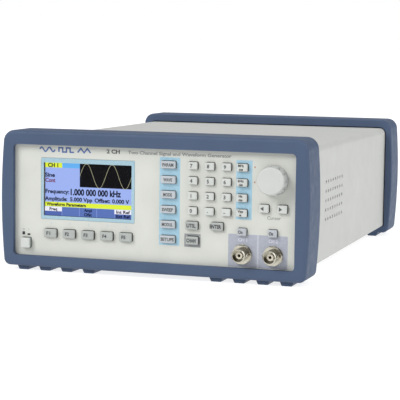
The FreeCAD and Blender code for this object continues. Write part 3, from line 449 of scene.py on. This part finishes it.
def make_world():
    """An even white room, darker near its horizon, so that bright metal has something to mirror."""
    world = bpy.data.worlds.new("studio")
    world.use_nodes = True
    tree = world.node_tree
    lighting = tree.nodes["Background"]
    lighting.inputs["Strength"].default_value = ROOM_STRENGTH
    split = tree.nodes.new("ShaderNodeSeparateXYZ")
    ramp = tree.nodes.new("ShaderNodeValToRGB")
    for place, level in ROOM_LEVELS[1:-1]:
        ramp.color_ramp.elements.new(place)
    for element, (place, level) in zip(ramp.color_ramp.elements, ROOM_LEVELS):
        element.position = place
        element.color = (level, level, level, 1.0)
    seen = tree.nodes.new("ShaderNodeBackground")
    seen.inputs["Color"].default_value = (1.0, 1.0, 1.0, 1.0)
    mix = tree.nodes.new("ShaderNodeMixShader")
    links = tree.links
    links.new(tree.nodes.new("ShaderNodeTexCoord").outputs["Generated"], split.inputs["Vector"])
    links.new(split.outputs["Z"], ramp.inputs["Fac"])
    links.new(ramp.outputs["Color"], lighting.inputs["Color"])
    links.new(tree.nodes.new("ShaderNodeLightPath").outputs["Is Camera Ray"], mix.inputs["Fac"])
    links.new(lighting.outputs["Background"], mix.inputs[1])
    links.new(seen.outputs["Background"], mix.inputs[2])
    links.new(mix.outputs["Shader"], tree.nodes["World Output"].inputs["Surface"])
    bpy.context.scene.world = world


make_camera()
make_floor()
for light_settings in LIGHTS:
    sun_light(*light_settings)
make_world()
bpy.context.scene.view_settings.view_transform = "Standard"


class Layers:
    """One object of thin layers over a face that looks towards -Y, each layer in its own ink."""

    def __init__(self, name, inks, base=0.0, step=INK):
        self.name, self.inks = name, list(inks)
        self.base, self.step = base, step
        self.bm = bmesh.new()

    def height(self, layer):
        return self.base + self.step * layer

    def patch(self, ink, x0, x1, z0, z1, layer=1, holes=()):
        film(self.bm, x0, x1, z0, z1, holes, self.base, self.height(layer), self.inks.index(ink))

    def shape(self, ink, outline):
        loft(self.bm, [(outline, self.base), (outline, self.height(1))], self.inks.index(ink))

    def words(self, ink, text, x, z, cap, width=None, layer=2, weight=0.0):
        add_text(self.bm, text, x, z, cap, self.base, self.height(layer), self.inks.index(ink), width, weight)

    def stroke(self, ink, points, width, layer=2):
        """An even line of ink through points, with mitred corners."""
        last = len(points) - 1
        left, right = [], []
        for k, (x, z) in enumerate(points):
            runs = [(points[a], points[a + 1]) for a in (k - 1, k) if 0 <= a < last]
            normals = [Vector((a[1] - b[1], b[0] - a[0])).normalized() for a, b in runs]
            normal = sum(normals, Vector((0, 0))).normalized()
            reach = width / 2 / max(normal.dot(normals[0]), MITRE_LIMIT)
            left.append((x + normal.x * reach, z + normal.y * reach))
            right.append((x - normal.x * reach, z - normal.y * reach))
        low, high = self.base, self.height(layer)
        rings = [[self.bm.verts.new(panel_point(*point, proud)) for point in side]
                 for side, proud in ((left, low), (left, high), (right, high), (right, low))]
        sides = list(zip(rings, rings[1:] + rings[:1]))
        faces = [(a[k], a[k + 1], b[k + 1], b[k]) for k in range(last) for a, b in sides]
        faces += [tuple(ring[end] for ring in rings) for end in (0, -1)]
        for face in faces:
            self.bm.faces.new(face).material_index = self.inks.index(ink)

    def turn_to_rear(self):
        """Turns the layers half round, from the control panel's face to the rear panel's."""
        half_turn = Matrix.Rotation(math.pi, 4, "Z")
        bmesh.ops.transform(self.bm, verts=self.bm.verts,
                            matrix=Matrix.Translation((0, PANEL_Y + REAR_Y, 0)) @ half_turn)

    def finish(self, body, slot):
        add_object(self.name, self.bm, self.inks, body)


# ---- keys -------------------------------------------------------------------
CAP_CORNER = 0.65
CAP_T = 1.3               # depth of the light cap over the darker skirt
CAP_RIM = 0.45            # radius of the round edge of the cap's face
RIM_STEPS = 4
CAP_PROUD = 0.06          # cap over the skirt's front face
CAP_GROW = 0.03           # cap round the skirt's sides
CAP_CROWN = 0.12          # rise of the face's middle over its edge
CROWN_SHARES = (0.55, 0.2)    # outlines that carry the crown, over the face's size
CROWN_CORNER = 0.2
LEGEND_DEPTH = 0.1        # how far a legend's ink reaches down into the crowned face
ARROW_TIP, ARROW_BACK, ARROW_HALF = 1.2, 1.1, 1.5
FLANGE_BEYOND_CAP = 1.0   # the hidden flange is this much wider than the cap, all round
KEY_GAP = 0.35            # cap to panel opening

MENU_WORDS = {"param": "PARAM", "wave": "WAVE", "mode": "MODE", "sweep": "SWEEP", "modulation": "MODUL",
              "setups": "SETUPS"}
WIDE_WORDS = {"utility": "UTIL", "enter": "ENTER", "channel": "CHAN"}
UNIT_WORDS = (("MHz", "ns"), ("kHz", "us"), ("Hz", "ms"), ("Vpp", "s"))

# Legends that are printed left of the middle of their keys, by the start of the key's name
LEGEND_SHIFTS = (("digit_", 0.85), ("point", 0.9), ("sign", 0.9), ("f", 1.1), ("utility", 0.1),
                 ("channel", 0.4), ("enter", 0.8), ("unit_", 0.6), ("output_", 0.8), ("cursor_", 1.1))


def key_legends():
    """Every key as name: list of (words, rise of the line, height of a capital, length, weight)."""
    legends = {"power": []}
    for k in range(5):
        legends["f%d" % (k + 1)] = [("F%d" % (k + 1), 0, 2.3, 3.1, 0.12)]
    for name, words in MENU_WORDS.items():
        legends[name] = [(words, 0, 2.2, 1.62 * len(words), 0.1)]
    for name, words in WIDE_WORDS.items():
        legends[name] = [(words, 0, 2.5, 1.68 * len(words), 0.14)]
    for k in range(10):
        legends["digit_%d" % k] = [(str(k), 0, 2.4, None, 0.12)]
    legends["point"] = [(".", 0.9, 3.4, None, 0.05)]
    legends["sign"] = [("-", 0, 3.0, 1.6, 0.02)]
    for k, (upper, lower) in enumerate(UNIT_WORDS):
        legends["unit_%d" % (k + 1)] = [(upper, 1.3, 1.6, 1.4 * len(upper), 0.09),
                                        (lower, -1.2, 1.6, 1.4 * len(lower), 0.09)]
    for name in ("output_1", "output_2"):
        legends[name] = [("On", 0, 2.1, 3.2, 0.12)]
    for name in ("cursor_left", "cursor_right"):
        legends[name] = []
    return legends


GREY_KEYS = {"f1", "f2", "f3", "f4", "f5", "utility", "enter", "channel"}
OUTPUT_KEYS = {"output_1", "output_2"}


def key_box(name):
    """Centre x, z and width, height of a key's cap, in panel millimetres, and how far it stands proud."""
    low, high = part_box("key_" + name)
    x = (low[0] + high[0]) / 2 / MM
    z = ((low[2] + high[2]) / 2 - PANEL_CENTRE_Z) / MM
    width = (high[0] - low[0]) / MM - 2 * FLANGE_BEYOND_CAP
    height = (high[2] - low[2]) / MM - 2 * FLANGE_BEYOND_CAP
    return x, z, width, height, (PANEL_Y - low[1]) / MM


def opening(name):
    """The panel's opening for a key, as a film's hole."""
    x, z, width, height, _ = key_box(name)
    across, up = width / 2 + KEY_GAP, height / 2 + KEY_GAP
    return x - across, x + across, z - up, z + up


def key_piece(name, lines):
    """The light cap over a key's skirt: a block with a rounded rim, a crown and its legend."""
    x, z, width, height, proud = key_box(name)
    face = proud + CAP_PROUD
    width, height = width + 2 * CAP_GROW, height + 2 * CAP_GROW
    bm = bmesh.new()
    sections = [(rounded_outline(x, z, width, height, CAP_CORNER), face - CAP_T)]
    for k in range(RIM_STEPS + 1):
        angle = math.radians(90 * k / RIM_STEPS)
        inset = CAP_RIM * (1 - math.cos(angle))
        rise = CAP_RIM * math.sin(angle)
        sections.append((rounded_outline(x, z, width - 2 * inset, height - 2 * inset, CAP_CORNER - inset),
                         face - CAP_RIM + rise))
    for share in CROWN_SHARES:
        outline = rounded_outline(x, z, (width - 2 * CAP_RIM) * share, (height - 2 * CAP_RIM) * share,
                                  CROWN_CORNER * share)
        sections.append((outline, face + CAP_CROWN * (1 - share * share)))
    loft(bm, sections)
    ink = (face - LEGEND_DEPTH, face + CAP_CROWN + INK)
    shift = next((amount for start, amount in LEGEND_SHIFTS if name.startswith(start)), 0.0)
    for words, rise, cap, length, weight in lines:
        add_text(bm, words, x - shift, z + rise, cap, *ink, 1, length, weight)
    if name.startswith("cursor"):
        side = -1 if name.endswith("left") else 1
        middle = x - shift
        back = middle - side * ARROW_BACK
        arrow = [(middle + side * ARROW_TIP, z), (back, z + ARROW_HALF), (back, z - ARROW_HALF)]
        loft(bm, [(arrow, ink[0]), (arrow, ink[1])], 1)
    shade = "key_grey" if name in GREY_KEYS else "key_light"
    ink_name = "ink_dark" if name in GREY_KEYS | OUTPUT_KEYS or name.startswith("unit") else "ink_key"
    finish = "key_output" if name in OUTPUT_KEYS else "key_menu" if name in MENU_WORDS else shade
    add_object("cap_" + name, bm, [finish, ink_name], "key_" + name)


for key_name, key_lines in key_legends().items():
    key_piece(key_name, key_lines)


# ---- display ----------------------------------------------------------------
SCREEN_X0, SCREEN_X1 = -82.8, -15.3
SCREEN_Z0, SCREEN_Z1 = -10.8, 27.4
SCREEN_EDGE = 0.4             # dark line down the left side
SCREEN_LAYER = 0.03           # each layer of the picture over the one below it
TAB_X1, TAB_Z0 = -69.2, 23.9  # the channel's tab, top left
PLOT_X0, PLOT_Z0 = -55.5, 10.5
BAR_Z0, BAR_Z1 = -4.3, -1.0
SOFT_CELLS = 5
CELLS_TOP, CELLS_MIDDLE = -4.5, -7.65
CELL_GAP = 0.12               # half the line between two cells
CELL_WORDS_Z = (-6.1, -9.2)
CELL_CAPITAL, CELL_LETTER = 2.1, 1.5    # height of a capital, length of a line over its letters
WAVE_PEAK_X = -50.3
WAVE_PERIOD = 19.7
WAVE_HEIGHT = 8.6
WAVE_MIDDLE = 18.9
WAVE_STEPS = 96
WAVE_STROKE = 0.22
WAVE_END_GAP, WAVE_TOP_GAP = 0.1, 0.3

# Ink, words, x and z of their middle, height of a capital, length, weight
DISPLAY_WORDS = (
    ("lcd_text", "CH 1", -76.3, 25.6, 2.8, 8.0, 0.15),
    ("lcd_text", "Sine", -78.7, 18.5, 2.8, 7.6, 0.13),
    ("lcd_red", "Cont", -78.4, 14.7, 2.8, 7.8, 0.13),
    ("lcd_text", "Frequency:", -73.0, 6.7, 2.8, 18.4, 0.13),
    ("lcd_text", "1.000 000 000 kHz", -43.2, 6.7, 4.2, 38.8, 0.24),
    ("lcd_text", "Amplitude:", -73.9, 1.4, 2.7, 17.4, 0.13),
    ("lcd_text", "5.000 Vpp", -54.4, 1.4, 2.7, 17.2, 0.13),
    ("lcd_text", "Offset:", -38.0, 1.4, 2.7, 12.0, 0.13),
    ("lcd_text", "0.000 V", -24.0, 1.4, 2.7, 13.0, 0.13),
    ("lcd_text", "Waveform Parameters", -66.1, -2.6, 2.2, 30.8, 0.12),
)
CELL_WORDS = {0: ("Freq", ""), 2: ("Ampl", "Ofst"), 4: ("Int Ref", "Ext Ref")}


def display_picture():
    """What the display shows, in thin lit layers on its glass."""
    glass = (PANEL_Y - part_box("display_module")[0][1]) / MM
    inside = SCREEN_X0 + SCREEN_EDGE
    picture = Layers("display_picture", DISPLAY_COLOURS, glass, SCREEN_LAYER)
    picture.patch("lcd_back", SCREEN_X0, SCREEN_X1, SCREEN_Z0, SCREEN_Z1)
    picture.patch("lcd_text", SCREEN_X0, inside, SCREEN_Z0, SCREEN_Z1, 2)
    picture.patch("lcd_blue", TAB_X1, PLOT_X0, TAB_Z0, SCREEN_Z1, 2)
    picture.patch("lcd_yellow", inside, TAB_X1, TAB_Z0, SCREEN_Z1, 2)
    picture.patch("lcd_black", PLOT_X0, SCREEN_X1, PLOT_Z0, SCREEN_Z1, 2)
    picture.patch("lcd_yellow", inside, SCREEN_X1, BAR_Z0, BAR_Z1, 2)
    for ink, words, x, z, cap, length, weight in DISPLAY_WORDS:
        picture.words(ink, words, x, z, cap, length, 3, weight)
    wave_trace(picture)
    soft_cells(picture)
    picture.finish("chassis", "display_screen")


def wave_trace(picture):
    """The sine on the display, cut off where it runs over the plot's top."""
    start, end = PLOT_X0 + WAVE_END_GAP, SCREEN_X1 - WAVE_END_GAP
    points = []
    for k in range(WAVE_STEPS + 1):
        x = start + (end - start) * k / WAVE_STEPS
        z = WAVE_MIDDLE + WAVE_HEIGHT * math.cos(2 * math.pi * (x - WAVE_PEAK_X) / WAVE_PERIOD)
        points.append((x, min(z, SCREEN_Z1 - WAVE_TOP_GAP)))
    picture.stroke("lcd_trace", points, WAVE_STROKE, 4)


def soft_cells(picture):
    """The row of labels over the soft keys."""
    pitch = (SCREEN_X1 - SCREEN_X0) / SOFT_CELLS
    for k in range(SOFT_CELLS):
        left, right = SCREEN_X0 + k * pitch + CELL_GAP, SCREEN_X0 + (k + 1) * pitch - CELL_GAP
        picture.patch("lcd_cell", left, right, SCREEN_Z0, CELLS_TOP, 2)
        if k in (0, SOFT_CELLS - 1):
            picture.patch("lcd_white", left, right, CELLS_MIDDLE, CELLS_TOP, 3)
            picture.patch("lcd_cell_dark", left, right, SCREEN_Z0, CELLS_MIDDLE - 0.1, 3)
        for words, z in zip(CELL_WORDS.get(k, ()), CELL_WORDS_Z):
            if words:
                picture.words("lcd_text", words, (left + right) / 2, z, CELL_CAPITAL,
                              CELL_LETTER * len(words), 4, 0.1)


display_picture()


def window_border():
    """The printed border of the display window, with the clear opening in its middle."""
    low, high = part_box("display_window")
    z_low, z_high = ((edge[2] - PANEL_CENTRE_Z) / MM for edge in (low, high))
    inset, clear = 0.05, 0.1
    border = Layers("window_border", ["film_border"], -0.02)
    border.patch("film_border", low[0] / MM + inset, high[0] / MM - inset, z_low + inset, z_high - inset, 1,
                 [(SCREEN_X0 - clear, SCREEN_X1 + clear, SCREEN_Z0 - clear, SCREEN_Z1 + clear)])
    border.finish("chassis", "panel_plastic")


window_border()


# ---- printing on the panels -----------------------------------------------
# Bands of colour behind keys: lowest and highest x, lowest and highest z
MENU_BAND = (5.85, 21.1, -27.4, 34.5)
UNIT_BAND = (62.0, 73.5, -6.6, 34.4)
CHANNEL_BAND = (24.7, 36.6, -27.9, -18.5)
OUTPUT_BANDS = ((56.9, 77.7, -39.9, -16.9), (78.8, 99.5, -39.9, -16.9))

HEADING_Z = 36.9
SYMBOL_HALF, SYMBOL_STROKE = 1.5, 1.1
SINE_X0, SINE_LENGTH, SINE_STEPS = -86.0, 12.0, 24
SQUARE_X0, SQUARE_STEP = -71.0, 2.9
TRIANGLE_X0, TRIANGLE_STEP = -56.5, 2.5

PANEL_INKS = ("film_blue", "film_output", "film_grey", "film_line", "ink_black", "ink_dark", "ink_grey",
              "ink_pale", "ink_blue", "ink_red", "ink_tick")

# Ink, words, x and z of their middle, height of a capital, length, weight
PANEL_WORDS = (
    ("ink_dark", "2 CH", -29.2, 37.0, 2.6, 10.0, 0.14),
    ("ink_grey", "Two Channel Signal and Waveform Generator", 20.2, HEADING_Z, 2.2, 76.4, 0.08),
    ("ink_grey", "Cursor", 89.4, -4.6, 2.3, 9.6, 0.02),
)
RED_MARK_X, RED_MARKS_Z = 75.3, (19.5, 29.9)
TICK_HALF, TICK_Z = 0.2, (-16.9, -15.0)

# Marks over the power key, with x from the key's middle
POWER_BLOCKS = ((-3.7, -1.6, -25.7, -23.4), (0.4, 2.6, -25.9, -24.7))
POWER_WORDS = (("O", -2.6), ("I", 1.4))
POWER_WORDS_Z, POWER_CAPITAL = -21.8, 1.4

REAR_LABEL_RISE, REAR_LINE_RISE = 12.4, 10.0
REAR_LINE_HALF, REAR_LINE_WIDTH = 6.5, 0.3


def wave_symbols(printing):
    """A sine, a square and a triangle wave in a row, where a maker would put a badge."""
    low, high = HEADING_Z - SYMBOL_HALF, HEADING_Z + SYMBOL_HALF
    sine = [(SINE_X0 + SINE_LENGTH * k / SINE_STEPS,
             HEADING_Z + SYMBOL_HALF * math.sin(4 * math.pi * k / SINE_STEPS)) for k in range(SINE_STEPS + 1)]
    square = [(SQUARE_X0, low)]
    for k in range(4):
        level = low if k % 2 else high
        square += [(SQUARE_X0 + SQUARE_STEP * k, level), (SQUARE_X0 + SQUARE_STEP * (k + 1), level)]
    triangle = [(TRIANGLE_X0 + TRIANGLE_STEP * k, high if k % 2 else low) for k in range(5)]
    for line in (sine, square, triangle):
        printing.stroke("ink_blue", line, SYMBOL_STROKE)


def panel_printing():
    """Everything printed on the control panel."""
    printing = Layers("panel_printing", PANEL_INKS)
    printing.patch("film_blue", *MENU_BAND, holes=[opening(name) for name in MENU_WORDS])
    printing.patch("film_blue", *UNIT_BAND, holes=[opening("unit_%d" % k) for k in range(1, 5)])
    printing.patch("film_grey", *CHANNEL_BAND, holes=[opening("channel")])
    for k, band in enumerate(OUTPUT_BANDS):
        printing.patch("film_output", *band, holes=[opening("output_%d" % (k + 1))])
        printing.words("ink_pale", "CH %d" % (k + 1), sum(band[:2]) / 2, -20.7, 2.3, 6.4, weight=0.04)
    printing.patch("film_line", OUTPUT_BANDS[0][1] + 0.1, OUTPUT_BANDS[1][0] - 0.1, *OUTPUT_BANDS[0][2:])
    wave_symbols(printing)
    for ink, words, x, z, cap, length, weight in PANEL_WORDS:
        printing.words(ink, words, x, z, cap, length, weight=weight)
    for z in RED_MARKS_Z:
        printing.shape("ink_red", rounded_outline(RED_MARK_X, z, 0.9, 1.3, 0.3))
    for k in range(SOFT_CELLS):
        x = key_box("f%d" % (k + 1))[0]
        printing.patch("ink_tick", x - TICK_HALF, x + TICK_HALF, *TICK_Z)
    power_x = key_box("power")[0]
    for left, right, low, high in POWER_BLOCKS:
        printing.patch("ink_black", power_x + left, power_x + right, low, high)
    for words, shift in POWER_WORDS:
        printing.words("ink_grey", words, power_x + shift, POWER_WORDS_Z, POWER_CAPITAL)
    printing.finish("chassis", "panel_plastic")


panel_printing()


def rear_printing():
    """Labels over the two rear sockets; x runs to the right as seen from behind."""
    printing = Layers("rear_printing", ["ink_dark", "ink_grey"])
    mounts = {mount["name"]: mount["pos_m"] for mount in frame["record"]["mounts"]}
    for words, name in (("REF IN", "rear_socket_1"), ("TRIG IN", "rear_socket_2")):
        x, z = -mounts[name][0] / MM, (mounts[name][2] - PANEL_CENTRE_Z) / MM
        printing.words("ink_dark", words, x, z + REAR_LABEL_RISE, 2.2, weight=0.05)
        printing.patch("ink_grey", x - REAR_LINE_HALF, x + REAR_LINE_HALF,
                       z + REAR_LINE_RISE, z + REAR_LINE_RISE + REAR_LINE_WIDTH)
    printing.turn_to_rear()
    printing.finish("chassis", "cover_paint")


rear_printing()
